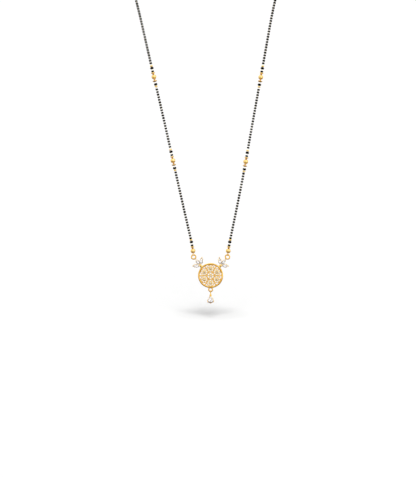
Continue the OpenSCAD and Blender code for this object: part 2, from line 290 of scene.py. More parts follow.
def stage_card(name, shape, finish, unseen_by):
    """Makes a flat shape a card of the studio, which some kinds of ray pass through."""
    mesh = bpy.data.meshes.new(name)
    shape.to_mesh(mesh)
    shape.free()
    mesh.materials.append(finish)
    card = bpy.data.objects.new(name, mesh)
    for ray in unseen_by:
        setattr(card, f"visible_{ray}", False)
    bpy.context.scene.collection.objects.link(card)
    card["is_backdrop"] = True
    return card


floor_shape = bmesh.new()
bmesh.ops.create_grid(floor_shape, x_segments=1, y_segments=1, size=FLOOR_HALF)
bmesh.ops.translate(
    floor_shape, verts=floor_shape.verts, vec=(0, 0, DISC_MIDDLE.z - FLOOR_UNDER_DISC)
)
floor_finish, paint = new_finish("white_floor")
matt = paint.add("ShaderNodeBsdfDiffuse", None, {"Color": (FLOOR_GREY, FLOOR_GREY, FLOOR_GREY, 1)})
paint.add("ShaderNodeOutputMaterial", None, {"Surface": matt})
stage_card("floor", floor_shape, floor_finish, ["glossy", "transmission"])
bpy.context.scene.view_settings.view_transform = "Standard"
print("floor lies", round(FLOOR_UNDER_DISC / MM, 1), "mm under the disc's middle")

# %% [markdown]
# A necklace is nearly all thin wire and thread, so its own shadow is faint. The broad soft
# one in the picture needs a flag, as a photographer calls it: a card that only the sun
# sees, just over the floor, densest in its middle and clear at its edge. A grey patch
# painted on the floor would look alike, but it wouldn't move or fade with the light.

# %% The flag that deepens the shadow
FLAG_MIDDLE = Vector((3.6, -91.5, 0)) * MM
FLAG_HALF_WIDE = 24
FLAG_HALF_DEEP = 27
FLAG_OVER_FLOOR = 1.5
FLAG_DENSITY = 0.19

flag_finish, gauze = new_finish("flag_gauze")
oval = gauze.add(
    "ShaderNodeVectorMath", {"operation": "MULTIPLY"},
    {0: gauze.place(), 1: (1 / FLAG_HALF_WIDE, 1 / FLAG_HALF_DEEP, 0)},
)
from_middle = gauze.add("ShaderNodeVectorMath", {"operation": "LENGTH"}, {0: oval}, 1)
density = (1 - from_middle * from_middle).clear_below_nought() * FLAG_DENSITY
gauze.coat({"Base Color": (0, 0, 0, 1), "Alpha": density})

flag_shape = bmesh.new()
bmesh.ops.create_circle(flag_shape, cap_ends=True, segments=48, radius=MM)
bmesh.ops.scale(flag_shape, verts=flag_shape.verts, vec=(FLAG_HALF_WIDE, FLAG_HALF_DEEP, 1))
flag = stage_card(
    "flag", flag_shape, flag_finish, ["camera", "diffuse", "glossy", "transmission"]
)
flag.location = FLAG_MIDDLE
flag.location.z = DISC_MIDDLE.z - FLOOR_UNDER_DISC + FLAG_OVER_FLOOR * MM
print("flag is", 2 * FLAG_HALF_WIDE, "mm wide and", 2 * FLAG_HALF_DEEP, "mm deep")

# %% [markdown]
# ## Finishes
# There are four materials. The metal is gold-plated brass: bright where it was polished,
# a little frosted where it was cast and pierced, deeper on the drawn wires, and a darker,
# browner copy of the gold whose tone is painted shade, put on the necks and undersides of
# the flanges. The stones are clear and hard, with the faintest tint. The beads are pressed
# black glass, and the thread is cream cotton with painted shade in the grooves of its
# fibres. Metal, glass and cotton get fine grain that changes their gloss and slope.

# %% Gold-plated metal
GRAZING_GOLD = (1.0, 0.78, 0.42, 1.0)


def metal(name, light, deep, smooth, dull, grain_per_mm, dent_mm):
    """Plated brass: two tones in soft clouds, gloss that varies, and fine dents."""
    material, recipe = new_finish(name)
    place = recipe.place()
    cloud = recipe.noise(place, 0.45, 2.0)
    grain = recipe.noise(place, grain_per_mm, 3.0, 0.6)
    tone = recipe.mix_colour(cloud.ramp(0.35, 0.65), deep, light)
    gloss = grain.ramp(0.3, 0.7, smooth, dull)
    recipe.coat({
        "Base Color": tone, "Metallic": 1.0, "Roughness": gloss, "Specular Tint": GRAZING_GOLD,
        "Normal": recipe.bump(grain, dent_mm),
    })
    return material


polished_gold = metal(
    "polished_gold", light=(1.0, 0.79, 0.36, 1), deep=(0.98, 0.73, 0.28, 1),
    smooth=0.1, dull=0.2, grain_per_mm=1.6, dent_mm=0.004,
)
deep_gold = metal(
    "deep_gold", light=(0.93, 0.65, 0.19, 1), deep=(0.86, 0.56, 0.13, 1),
    smooth=0.14, dull=0.24, grain_per_mm=1.6, dent_mm=0.004,
)
# A darker, browner copy of the gold: painted shade for the flanges' necks and undersides.
painted_shade_gold = metal(
    "painted_shade_gold", light=(0.72, 0.38, 0.1, 1), deep=(0.5, 0.24, 0.06, 1),
    smooth=0.25, dull=0.45, grain_per_mm=3.0, dent_mm=0.006,
)
cast_gold = metal(
    "cast_gold", light=(1.0, 0.81, 0.4, 1), deep=(0.98, 0.76, 0.33, 1),
    smooth=0.25, dull=0.4, grain_per_mm=5.0, dent_mm=0.008,
)


# %% Cut stone, pressed glass and cotton
PALE_ROSE = (1.0, 0.93, 0.93, 1)
PALE_BLUE = (0.93, 0.97, 1.0, 1)
JET = (0.0005, 0.0005, 0.0005, 1)
JET_HANDLED = (0.002, 0.002, 0.0015, 1)
COTTON_GROOVE_SHADE = (0.68, 0.56, 0.36, 1)
COTTON_CREAM = (0.92, 0.85, 0.68, 1)
STONE_BEND = 1.6
STONE_CLEAR = 0.85
BEAD_MIRROR = 0.07


def clear_stone():
    """A hard clear stone with the faintest pink and blue in it."""
    material, recipe = new_finish("clear_stone")
    place = recipe.place()
    tint = recipe.mix_colour(recipe.noise(place, 0.8).ramp(0.4, 0.6), PALE_ROSE, PALE_BLUE)
    recipe.coat({
        "Base Color": tint, "Roughness": 0.01,
        "IOR": STONE_BEND, "Transmission Weight": STONE_CLEAR,
    })
    return material


def black_glass():
    """Pressed black glass: shiny, with small pits and a thin film of handling."""
    material, recipe = new_finish("black_glass")
    place = recipe.place()
    film = recipe.noise(place, 1.3, 3.0)
    pits = recipe.noise(place, 6.0, 1.0)
    recipe.coat({
        "Base Color": recipe.mix_colour(film, JET, JET_HANDLED),
        "Roughness": film.ramp(0.3, 0.7, 0.1, 0.2), "Specular IOR Level": BEAD_MIRROR,
        "Normal": recipe.bump(pits, 0.006),
    })
    return material


def cotton():
    """Cream thread, with painted shade in the grooves between its fibres."""
    material, recipe = new_finish("cream_cotton")
    place = recipe.place()
    fibre = recipe.noise(place, 14.0, 2.0)
    recipe.coat({
        # The fibre noise sets both the bump and the darker tone, so the low grooves get painted
        # shade.
        "Base Color": recipe.mix_colour(fibre.ramp(0.3, 0.7), COTTON_GROOVE_SHADE, COTTON_CREAM),
        "Roughness": fibre.ramp(0.2, 0.8, 0.75, 0.95),
        "Normal": recipe.bump(fibre, 0.02),
    })
    return material


stone_finish = clear_stone()
bead_finish = black_glass()
thread_finish = cotton()
print("finishes:", [m.name for m in bpy.data.materials])

# %% [markdown]
# ## Making shapes
# Almost everything on a necklace is turned, drawn as wire or cut. So three helpers make
# nearly all of it: one spins an outline round an axis, one draws a wire along a path, and
# one gathers small finished forms into a piece. A form is built once at the origin and
# then put in its places, which keeps repeated beads light.

# %% Forms and pieces
SAME_POINT = 0.0005 * MM
FULL_TURN = math.radians(360)


def rotation(degrees, axis):
    """A turn about the X, Y or Z axis."""
    return Matrix.Rotation(math.radians(degrees), 4, axis)


def form(shape):
    """Closes a small shape, turns its faces outwards and keeps it as a mesh."""
    bmesh.ops.remove_doubles(shape, verts=shape.verts, dist=SAME_POINT)
    bmesh.ops.recalc_face_normals(shape, faces=shape.faces)
    mesh = bpy.data.meshes.new("form")
    shape.to_mesh(mesh)
    shape.free()
    return mesh


def put(shape, mesh, place, finish=0):
    """Adds a copy of a form to a shape. The finish is added to each face's own number."""
    first_vert = len(shape.verts)
    first_face = len(shape.faces)
    shape.from_mesh(mesh)
    shape.verts.ensure_lookup_table()
    shape.faces.ensure_lookup_table()
    bmesh.ops.transform(shape, matrix=place, verts=shape.verts[first_vert:])
    for face in shape.faces[first_face:]:
        face.material_index += finish


def piece(name, shape, finishes, replaced, body="necklace", crease=40):
    """Makes a shape an object that rides on a body and stands for the named solids."""
    if crease:
        bmesh.ops.recalc_face_normals(shape, faces=shape.faces)
    mesh = bpy.data.meshes.new(name)
    shape.to_mesh(mesh)
    shape.free()
    for finish in finishes:
        mesh.materials.append(finish)
    if crease:
        mesh.shade_smooth()
        mesh.set_sharp_from_angle(angle=math.radians(crease))
    thing = bpy.data.objects.new(name, mesh)
    bpy.context.scene.collection.objects.link(thing)
    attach(thing, body)
    if replaced:
        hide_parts(*replaced)
    print(name, len(mesh.polygons), "faces")


# %% Turned forms
def spin_round(shape, steps):
    """Spins everything in a shape once round the Z axis."""
    bmesh.ops.spin(
        shape, geom=shape.verts[:] + shape.edges[:], cent=(0, 0, 0), axis=(0, 0, 1),
        angle=FULL_TURN, steps=steps, use_merge=True,
    )


def soften_edges(shape, steeper_than, offset, rounds):
    """Rounds the edges where faces meet at more than some degrees. The offset is in mm."""
    sharp = [e for e in shape.edges if e.calc_face_angle(0) > math.radians(steeper_than)]
    bmesh.ops.bevel(
        shape, geom=sharp, offset=offset * MM, segments=rounds, profile=0.5,
        affect="EDGES", material=-1,
    )


def turned(corners, steps=32, soften=0.0, rounds=3):
    """Spins a closed outline of (radius, height) corners, in mm, round the Z axis."""
    shape = bmesh.new()
    verts = [shape.verts.new((radius * MM, 0, height * MM)) for radius, height in corners]
    for first, second in zip(verts, verts[1:] + verts[:1]):
        shape.edges.new((first, second))
    spin_round(shape, steps)
    bmesh.ops.remove_doubles(shape, verts=shape.verts, dist=SAME_POINT)
    if soften:
        soften_edges(shape, 30, soften, rounds)
    return form(shape)


def wire_ring(radius, wire, sides=10, steps=48, high=None):
    """A ring of round wire in the XY plane; high makes the wire oval."""
    shape = bmesh.new()
    oval = Matrix.Diagonal((wire * MM, (high or wire) * MM, 1, 1))
    section = Matrix.Translation((radius * MM, 0, 0)) @ rotation(90, "X") @ oval
    bmesh.ops.create_circle(shape, segments=sides, radius=1, matrix=section)
    spin_round(shape, steps)
    return form(shape)


def ball(radius, flat=1.0, around=20, up=12):
    """A round grain, or a lower dome where flat is less than one."""
    shape = bmesh.new()
    bmesh.ops.create_uvsphere(
        shape, u_segments=around, v_segments=up, radius=radius * MM,
        matrix=Matrix.Diagonal((1, 1, flat, 1)),
    )
    return form(shape)


# %% Drawn wire
PLY_DEEP = 0.14


def frames_along(points):
    """Places that stand up along a path, each turned no more than the path turns."""
    places = []
    last_way = (points[1] - points[0]).normalized()
    side = last_way.orthogonal().normalized()
    for i, point in enumerate(points):
        before = points[max(i - 1, 0)]
        after = points[min(i + 1, len(points) - 1)]
        way = (after - before).normalized()
        if i:
            side = (last_way.rotation_difference(way) @ side).normalized()
        third = way.cross(side)
        turn = Matrix((side, third, way)).transposed().to_4x4()
        places.append(Matrix.Translation(point) @ turn)
        last_way = way
    return places


def extruded(shape, ring):
    """Grows a ring of edges into a band. Gives the new ring's edges and its points."""
    made = bmesh.ops.extrude_edge_only(shape, edges=ring)["geom"]
    points = [g for g in made if isinstance(g, bmesh.types.BMVert)]
    ends = set(points)
    edges = [g for g in made if isinstance(g, bmesh.types.BMEdge)]
    return [e for e in edges if e.verts[0] in ends and e.verts[1] in ends], points


def drawn(points, radius, sides=8, plies=1, lay=None):
    """A wire along points, with a radius in mm for each. Plies give it a twisted section."""
    shape = bmesh.new()
    radii = radius if isinstance(radius, list) else [radius] * len(points)
    first = bmesh.ops.create_circle(shape, segments=sides, radius=MM)["verts"]
    if plies > 1:
        for vert in first:
            lobe = math.cos(plies * math.atan2(vert.co.y, vert.co.x))
            vert.co *= 1 - PLY_DEEP + PLY_DEEP * lobe
    ring = shape.edges[:]
    bmesh.ops.edgeloop_fill(shape, edges=ring)
    last = Matrix.Identity(4)
    run = 0.0
    for i, place in enumerate(frames_along(points)):
        run += (points[i] - points[max(i - 1, 0)]).length
        twist = Matrix.Rotation(FULL_TURN * run / lay, 4, "Z") if lay else Matrix.Identity(4)
        here = place @ twist @ Matrix.Scale(radii[i], 4)
        if i:
            ring, moved = extruded(shape, ring)
        else:
            moved = first
        bmesh.ops.transform(shape, matrix=here @ last.inverted(), verts=moved)
        last = here
    bmesh.ops.edgeloop_fill(shape, edges=ring)
    return form(shape)


print("forms can be turned, drawn and put in place")

# %% [markdown]
# ## The route of the strings
# Each string is one smooth curve from its jump ring up the chest and round the neck to the
# clasp. The points are the same round numbers that the solids follow, and the beads are
# counted by their distance along it. A bead's place is a matrix: where it is on the curve,
# and turned so that its hole lies along the thread.

# %% The curve and the places on it
LEFT = -1
RIGHT = 1
SIDES = {"left": LEFT, "right": RIGHT}
SWAY = 3
ROUTE = [
    (9.6, -112, -201.3, 1), (10.7, -112, -193.6, 1), (14.9, -111.7, -174, 0.93),
    (19.2, -110.5, -153.6, 0.83), (25.3, -106.5, -123.5, 0.6), (32, -99.8, -91.6, 0.32),
    (38, -91, -63.5, 0.09), (43.2, -81, -44, 0), (47.8, -68, -29.5, 0), (50.6, -54, -19, 0),
    (51, -40, -12, 0), (47, -25.5, -7, 0), (38.5, -12.5, -3, 0), (26.5, -4, -1, 0),
    (14.5, 0.3, 0, 0), (6, 1.5, 0, 0), (3, 1.5, 0, 0),
]
STEPS_PER_ROW = 12


def between(a, b, c, d, t):
    """A point of the smooth curve between b and c."""
    straight = 2 * b + (c - a) * t
    bend = (2 * a - 5 * b + 4 * c - d) * t * t + (3 * b - a - 3 * c + d) * t * t * t
    return 0.5 * (straight + bend)


def string_curve(side):
    """Close points along one string, in metres."""
    rows = [Vector((side * x + SWAY * share, y, z)) * MM for x, y, z, share in ROUTE]
    rows = [2 * rows[0] - rows[1]] + rows + [2 * rows[-1] - rows[-2]]
    points = [
        between(*rows[i:i + 4], j / STEPS_PER_ROW)
        for i in range(len(ROUTE) - 1)
        for j in range(STEPS_PER_ROW)
    ]
    return points + [rows[-2]]


class Strand:
    """One string: gives the point or the place at a distance along it, in mm."""

    def __init__(self, side):
        self.points = string_curve(side)
        self.runs = [0.0]
        for a, b in zip(self.points, self.points[1:]):
            self.runs.append(self.runs[-1] + (b - a).length / MM)
        self.length = self.runs[-1]

    def spot(self, run):
        run = min(max(run, 0), self.length)
        i = max(k for k in range(len(self.runs) - 1) if self.runs[k] <= run)
        share = (run - self.runs[i]) / (self.runs[i + 1] - self.runs[i])
        return self.points[i].lerp(self.points[i + 1], share)

    def place(self, run):
        """Matrix that stands a bead on the thread: its Z runs up the string."""
        step = 0.5
        way = (self.spot(run + step) - self.spot(run - step)).normalized()
        return Matrix.Translation(self.spot(run)) @ way.to_track_quat("Z", "Y").to_matrix().to_4x4()


STRANDS = {name: Strand(side) for name, side in SIDES.items()}
for name, strand in STRANDS.items():
    print(name, "string is", round(strand.length, 1), "mm long")

# %% [markdown]
# ## Small black beads on their thread
# The strings are mostly tiny black glass beads with a little cream thread showing between
# them. Hundreds of them need a bead of few faces, so one is turned with ten sides and put
# along the curve. Real seed beads are cut from a drawn tube, so each is a little longer,
# fatter or more tilted than the next. The thread is drawn as a wire with a three-ply
# section that turns as it goes, because a plain round wire looks like plastic.

# %% Runs of small black beads
SEED_RADIUS = 0.8
SEED_LONG = 1.06
BORE = 0.3
PITCH = 1.55
CLASP_REACH = 1.8
BALLS = {"left": [3.5, 56.1, 104.8], "right": [3.5, 55.2, 103.9]}
RUN_STARTS = [7.4, 8.0, 8.0]
RUN_ENDS = [6.9, 7.35]
SEED_OUTLINE = [
    (BORE - 0.05, -0.4), (0.54, -0.53), (0.74, -0.38), (SEED_RADIUS, 0.0),
    (0.74, 0.38), (0.54, 0.53), (BORE - 0.05, 0.4),
]
seed_form = turned(SEED_OUTLINE, steps=10)


def seed_runs(balls, length):
    """Distances of the small black beads' middles along a string of some length."""
    ends = [ball - short for ball, short in zip(balls[1:], RUN_ENDS)]
    ends.append(length - CLASP_REACH - SEED_LONG / 2)
    for ball, lift, end in zip(balls, RUN_STARTS, ends):
        start = ball + lift
        gaps = round((end - start) / PITCH)
        for i in range(gaps + 1):
            yield start + (end - start) * i / gaps


for name, strand in STRANDS.items():
    chance = random.Random(7)
    beads = bmesh.new()
    for run in seed_runs(BALLS[name], strand.length):
        lean = rotation(chance.uniform(-5, 5), "X")
        fat = chance.uniform(0.94, 1.0)
        tall = chance.uniform(0.9, 1.06)
        spin = Matrix.Rotation(chance.uniform(0, FULL_TURN), 4, "Z")
        own = spin @ lean @ Matrix.Diagonal((fat, fat, tall, 1))
        put(beads, seed_form, strand.place(run) @ own)
    piece(f"seed_beads_{name}", beads, [bead_finish], [f"bead_string_{name}"])

# %% The thread inside them
THREAD_RADIUS = 0.15
THREAD_START = 5
THREAD_STEP = 0.4
THREAD_LAY = 2.2 * MM
for name, strand in STRANDS.items():
    count = int((strand.length - THREAD_START) / THREAD_STEP)
    run_step = (strand.length - THREAD_START) / count
    line = [strand.spot(THREAD_START + run_step * i) for i in range(count + 1)]
    thread = bmesh.new()
    put(thread, drawn(line, THREAD_RADIUS, sides=9, plies=3, lay=THREAD_LAY), Matrix.Identity(4))
    piece(f"thread_{name}", thread, [thread_finish], [])

# %% [markdown]
# ## Gold stations
# Three times on each side the small beads give way to a group: a gold ball between two
# dished flanges, black rondelles beside them and a small gold bead at the ends. The lowest
# group has nothing below its ball, where the string ends. Each bead is a turned form, and
# its distance from the ball puts it in order. The flanges are dishes with a neck, as a bead
# cap is. The neck and the underside of each flange get a second, browner finish, which is
# painted shade, chosen by where their faces lie on the turned form.

# %% Turned forms of a station
BALL_RADIUS = 1.38
BALL_STEPS = 22
arc_from = math.asin(BORE / BALL_RADIUS)
arc_turns = [arc_from + (math.pi - 2 * arc_from) * i / BALL_STEPS for i in range(BALL_STEPS + 1)]
gold_ball_form = turned(
    [(BALL_RADIUS * math.sin(t), -BALL_RADIUS * math.cos(t)) for t in arc_turns], steps=32
)
lower_flange_form = turned(
    [(BORE, -0.46), (0.55, -0.47), (0.95, -0.3), (1.22, -0.02), (1.3, 0.2), (1.24, 0.32),
     (0.98, 0.24), (0.66, 0.3), (0.53, 0.45), (0.53, 0.88), (0.47, 1.0), (BORE, 0.99)],
    steps=32, soften=0.04, rounds=2,
)
upper_flange_form = turned(
    [(BORE, 0.34), (0.8, 0.35), (1.08, 0.24), (1.15, 0.06), (1.08, -0.12), (0.8, -0.28),
     (0.6, -0.35), (0.53, -0.45), (0.53, -0.78), (0.47, -0.89), (BORE, -0.88)],
    steps=32, soften=0.04, rounds=2,
)


def painted_shade_where(mesh, test):
    """Gives a form's second finish, its painted shade, to the faces whose radius and height pass a
    test.
    """
    for face in mesh.polygons:
        across, deep, height = face.center / MM
        if test(math.hypot(across, deep), height):
            face.material_index = 1


# Painted shade: the lower flange's underside and neck, and the upper flange's neck.
painted_shade_where(lower_flange_form, lambda radius, height: height < 0 or (radius < 0.6 and height > 0.3))
painted_shade_where(upper_flange_form, lambda radius, height: radius < 0.58 and height < -0.36)


def rondelle(radius, thick):
    """A drilled bead with a full round edge and slightly dished ends."""
    half = thick / 2
    turns = [math.radians(90) * (i / 5 - 1) for i in range(11)]
    edge = [
        (radius - half * 0.75 + half * 0.75 * math.cos(t), half * math.sin(t)) for t in turns
    ]
    return turned([(BORE, -half * 0.86)] + edge + [(BORE, half * 0.86)], steps=24)


large_black_form = rondelle(radius=1.0, thick=1.25)
small_black_form = rondelle(radius=0.82, thick=0.95)
gold_seed_form = rondelle(radius=0.82, thick=0.95)

# %% Put the stations on both strings
SMALL_BLACK_ABOVE = 3.25
LARGE_BLACK = [5.1, -4.35]
GOLD_SEED = [6.35, -5.6]
FLANGE_ABOVE = 2.3
FLANGE_BELOW = 2.45


def single(name, mesh, place, finishes, replaced):
    """A piece of one form."""
    shape = bmesh.new()
    put(shape, mesh, place)
    piece(name, shape, finishes, [replaced])


for name, strand in STRANDS.items():
    golds = bmesh.new()
    blacks = bmesh.new()
    for i, ball_run in enumerate(BALLS[name]):
        single(
            f"ball_{name}_{i + 1}", gold_ball_form, strand.place(ball_run), [polished_gold],
            f"gold_ball_{name}_{i + 1}",
        )
        single(
            f"flange_{name}_{2 * i + 1}", upper_flange_form, strand.place(ball_run + FLANGE_ABOVE),
            [polished_gold, painted_shade_gold], f"gold_flange_{name}_{2 * i + 1}",
        )
        if i:
            single(
                f"flange_{name}_{2 * i}", lower_flange_form, strand.place(ball_run - FLANGE_BELOW),
                [polished_gold, painted_shade_gold], f"gold_flange_{name}_{2 * i}",
            )
        put(blacks, small_black_form, strand.place(ball_run + SMALL_BLACK_ABOVE))
        above_and_below = 2 if i else 1
        for away in LARGE_BLACK[:above_and_below]:
            put(blacks, large_black_form, strand.place(ball_run + away))
        for away in GOLD_SEED[:above_and_below]:
            put(golds, gold_seed_form, strand.place(ball_run + away))
    piece(f"gold_beads_{name}", golds, [polished_gold], [f"gold_seeds_{name}"])
    piece(f"rondelles_{name}", blacks, [bead_finish], [f"black_rondelles_{name}"])

# %% [markdown]
# ## The clasp at the nape
# It hangs out of sight behind the neck: a plain barrel that both threads run into. It is
# one turned form with rounded ends and a fine line round its middle, where the two halves
# of such a barrel screw together.

# %% Barrel clasp
CLASP_RADIUS = 1.5
CLASP_HALF = 4.3
clasp_form = turned(
    [(BORE, -2.4), (BORE, -CLASP_HALF), (0.9, -CLASP_HALF), (CLASP_RADIUS, -3.7),
     (CLASP_RADIUS, -0.12), (CLASP_RADIUS - 0.12, 0), (CLASP_RADIUS, 0.12),
     (CLASP_RADIUS, 3.7), (0.9, CLASP_HALF), (BORE, CLASP_HALF), (BORE, 2.4)],
    steps=40, soften=0.05, rounds=3,
)
on_nape = Matrix.Translation((0, CLASP_RADIUS * MM, 0)) @ rotation(90, "Y")
single("barrel_clasp", clasp_form, on_nape, [polished_gold], "clasp")

# %% [markdown]
# ## Jump rings and end loops
# A jump ring is a turn of round wire whose cut ends meet, and the cut shows as a fine line.
# Each string ends in a loop bent from thinner wire, with a stem that runs up through the
# first gold ball. Both are drawn as wire along their own path.

# %% The pendant's own axes
# Across, up and towards the viewer, from the middle of the disc
ON_PENDANT = Matrix.Translation(DISC_MIDDLE) @ rotation(90, "X")


def at(x, y, z=0.0, turn=0.0):
    """A place on the pendant, in mm, turned in its plane by degrees."""
    return Matrix.Translation((x * MM, y * MM, z * MM)) @ rotation(turn, "Z")


# %% Jump rings with a cut
JUMP_RADIUS = 1.24
JUMP_WIRE = 0.36
JUMP_X = 9.6
JUMP_Y = 10.7
CUT_TURN = 3
CUT_AT = 100
CUT_END = JUMP_WIRE * 0.86
JUMP_STEPS = 72
jump_path = []
for i in range(JUMP_STEPS + 1):
    turn = math.radians(CUT_TURN + (360 - 2 * CUT_TURN) * i / JUMP_STEPS)
    jump_path.append(Vector((math.cos(turn), math.sin(turn), 0)) * JUMP_RADIUS * MM)
jump_wire = [CUT_END] + [JUMP_WIRE] * (JUMP_STEPS - 1) + [CUT_END]
jump_form = drawn(jump_path, jump_wire, sides=14)
for name, side in SIDES.items():
    spot = at(side * JUMP_X, JUMP_Y, 0, CUT_AT)
    single(
        f"split_ring_{name}", jump_form, ON_PENDANT @ spot, [deep_gold],
        f"jump_ring_{name}",
    )

# %% End loops with a stem
LOOP_RADIUS = 0.58
LOOP_WIRE = 0.15
STEM_END = 4.85
CLOSE_TURN = 20
LOOP_STEPS = 28
loop_path = []
for i in range(LOOP_STEPS + 1):
    turn = math.radians(90 + CLOSE_TURN + (360 - CLOSE_TURN) * i / LOOP_STEPS)
    loop_path.append(Vector((0, math.cos(turn), math.sin(turn))) * LOOP_RADIUS * MM)
for height in (LOOP_RADIUS + 0.12, STEM_END - JUMP_RADIUS):
    loop_path.append(Vector((0, 0, height * MM)))
loop_form = drawn(loop_path, LOOP_WIRE, sides=10)
for name, strand in STRANDS.items():
    single(
        f"wire_loop_{name}", loop_form, strand.place(JUMP_RADIUS), [polished_gold],
        f"end_loop_{name}",
    )

# %% [markdown]
# ## Cut stones
# A cut stone is convex, so its facets follow from its corners alone: rings of points for
# the table, the crown, the girdle and the pavilion are set up, and a hull round them gives
# flat facets of the right kind. The leaf stones and the drop follow one outline formula,
# which is a circle when its point is nought and draws out to a tip as the point grows.

# %% Outline and facets of a stone
FACETS = 8
HALF_GIRDLE = 0.03


def outline_at(long, wide, point, turn):
    """A place on the outline of a stone, in mm: the tip is at turn nought."""
    peak = 2 / math.sqrt(2 + point) * ((1 + point) / (2 + point)) ** ((1 + point) / 2)
    half_wide = wide / 2 * math.sin(turn) * abs(math.sin(turn / 2)) ** point / peak
    return Vector((long / 2 * math.cos(turn), half_wide, 0))


def ring_of(shape, outline, count, offset, share, height):
    """A ring of loose points that follows a stone's outline at a share of its size."""
    ring = bmesh.ops.create_circle(shape, segments=count, radius=1)["verts"]
    for vert in ring:
        turn = math.atan2(vert.co.y, vert.co.x) + offset * FULL_TURN / count
        vert.co = outline_at(*outline, turn % FULL_TURN) * share * MM
        vert.co.z = height * MM
    return ring


def cut_gem(outline, crown, pavilion):
    """A brilliant cut: table, star and kite facets above, mains and halves below."""
    shape = bmesh.new()
    ring_of(shape, outline, FACETS, 0, 0.56, crown)
    ring_of(shape, outline, FACETS, 0.5, 0.82, crown * 0.52)
    ring_of(shape, outline, 2 * FACETS, 0, 1.0, HALF_GIRDLE)
    ring_of(shape, outline, 2 * FACETS, 0, 1.0, -HALF_GIRDLE)
    ring_of(shape, outline, FACETS, 0.5, 0.52, -pavilion * 0.62)
    ring_of(shape, outline, FACETS, 0, 0.08, -pavilion)
    hull = bmesh.ops.convex_hull(shape, input=shape.verts, use_existing_faces=False)
    inside = [g for g in hull["geom_interior"] if isinstance(g, bmesh.types.BMVert)]
    bmesh.ops.delete(shape, geom=inside, context="VERTS")
    loose = [e for e in shape.edges if not e.link_faces]
    bmesh.ops.delete(shape, geom=loose, context="EDGES")
    bmesh.ops.dissolve_limit(
        shape, angle_limit=math.radians(1), verts=shape.verts, edges=shape.edges,
        use_dissolve_boundaries=False, delimit=set(),
    )
    return form(shape)


def gem(name, mesh, place, replaced, body="necklace"):
    """A stone with flat facets."""
    shape = bmesh.new()
    put(shape, mesh, place)
    piece(name, shape, [stone_finish], [replaced], body, crease=0)


# %% Stones of the disc and of the leaves
DISC_GEM_WIDE = 0.86
DISC_GEM_UP = 0.62
DISC_RADIUS = 7.15
RIM_WIRE = 0.5
SOLDER = 0.15
AROUND = 6
ROSETTE_AT = (DISC_RADIUS - 2 * RIM_WIRE + SOLDER / 2) / 1.5
ROSETTE_RADIUS = (ROSETTE_AT + SOLDER) / 2
disc_gem = cut_gem((DISC_GEM_WIDE, DISC_GEM_WIDE, 0), crown=0.16, pavilion=0.38)
rosette_turns = [90 - 360 / AROUND * i for i in range(AROUND)]
gem("clear_stone_centre", disc_gem, ON_PENDANT @ at(0, 0, DISC_GEM_UP), "centre_stone")
for i, turn in enumerate(rosette_turns):
    spot = at(0, 0, DISC_GEM_UP, turn) @ at(ROSETTE_AT, 0)
    gem(f"clear_stone_{i + 1}", disc_gem, ON_PENDANT @ spot, f"rosette_stone_{i + 1}")

# Angle, distance of the near end from the sprig's foot, length, width, radius of tip prong
LEAVES = {
    "upper": (100, 1.05, 3.45, 1.8, 0.27),
    "middle": (52, 1.25, 2.9, 1.65, 0.17),
    "lower": (-3, 0.9, 3.2, 1.85, 0.27),
}
LEAF_POINT = 0.4
LEAF_UP = 0.35
SPRIG_FOOT = 5.75
MIRRORED = Matrix.Diagonal((-1, 1, 1, 1))


def leaf_spot(leaf):
    """The middle of a leaf stone of the right sprig, with its tip outwards."""
    turn, start, long, _, _ = leaf
    return at(SPRIG_FOOT, SPRIG_FOOT, 0, turn) @ at(start + long / 2, 0)


for side_name, side in SIDES.items():
    flip = MIRRORED if side == LEFT else Matrix.Identity(4)
    for leaf_name, leaf in LEAVES.items():
        leaf_gem = cut_gem((*leaf[2:4], LEAF_POINT), crown=0.35, pavilion=0.85)
        if side == LEFT:
            leaf_gem.flip_normals()
        gem(
            f"leaf_gem_{side_name}_{leaf_name}", leaf_gem,
            ON_PENDANT @ flip @ leaf_spot(leaf) @ at(0, 0, LEAF_UP),
            f"leaf_stone_{side_name}_{leaf_name}",
        )

# %% [markdown]
# ## The pierced disc
# The disc is seven rosettes in a wire rim. A rosette is a thin plate pierced with petals
# round a collet that holds a small stone, and a raised ring runs round it. The plate's
# outline and petals are circles filled as one flat face, which leaves the holes open, and
# the face is then given its thickness and soft edges. Cutting the holes out of a solid
# plate would do too, but it leaves long thin faces that shade badly.

# %% Pierced plate
PLATE_THICK = 0.5
PLATE_EDGE = 0.05
SQUARED = 0.8
NARROWING = 0.25


def pierced_plate(petals, hole_at, hole_long, hole_wide):
    """A round plate with petal-shaped holes that narrow towards the middle."""
    shape = bmesh.new()
    bmesh.ops.create_circle(shape, segments=48, radius=ROSETTE_RADIUS * MM)
    for i in range(petals):
        turn = Matrix.Rotation(FULL_TURN * i / petals, 4, "Z")
        hole = bmesh.ops.create_circle(shape, segments=16, radius=1)["verts"]
        for vert in hole:
            out, across = (math.copysign(abs(c) ** SQUARED, c) for c in vert.co.xy)
            vert.co.x = out * hole_long / 2 * MM
            vert.co.y = across * hole_wide / 2 * (1 + NARROWING * out) * MM
        bmesh.ops.transform(
            shape, matrix=turn @ Matrix.Translation((hole_at * MM, 0, 0)), verts=hole
        )
    bmesh.ops.triangle_fill(shape, use_beauty=True, use_dissolve=False, edges=shape.edges)
    bmesh.ops.recalc_face_normals(shape, faces=shape.faces)
    bmesh.ops.translate(shape, verts=shape.verts, vec=(0, 0, -PLATE_THICK / 2 * MM))
    bmesh.ops.solidify(shape, geom=shape.faces[:], thickness=-PLATE_THICK * MM)
    soften_edges(shape, 60, PLATE_EDGE, 2)
    return form(shape)


centre_plate = pierced_plate(6, hole_at=1.36, hole_long=0.82, hole_wide=0.98)
outer_plate = pierced_plate(8, hole_at=1.42, hole_long=0.68, hole_wide=0.76)

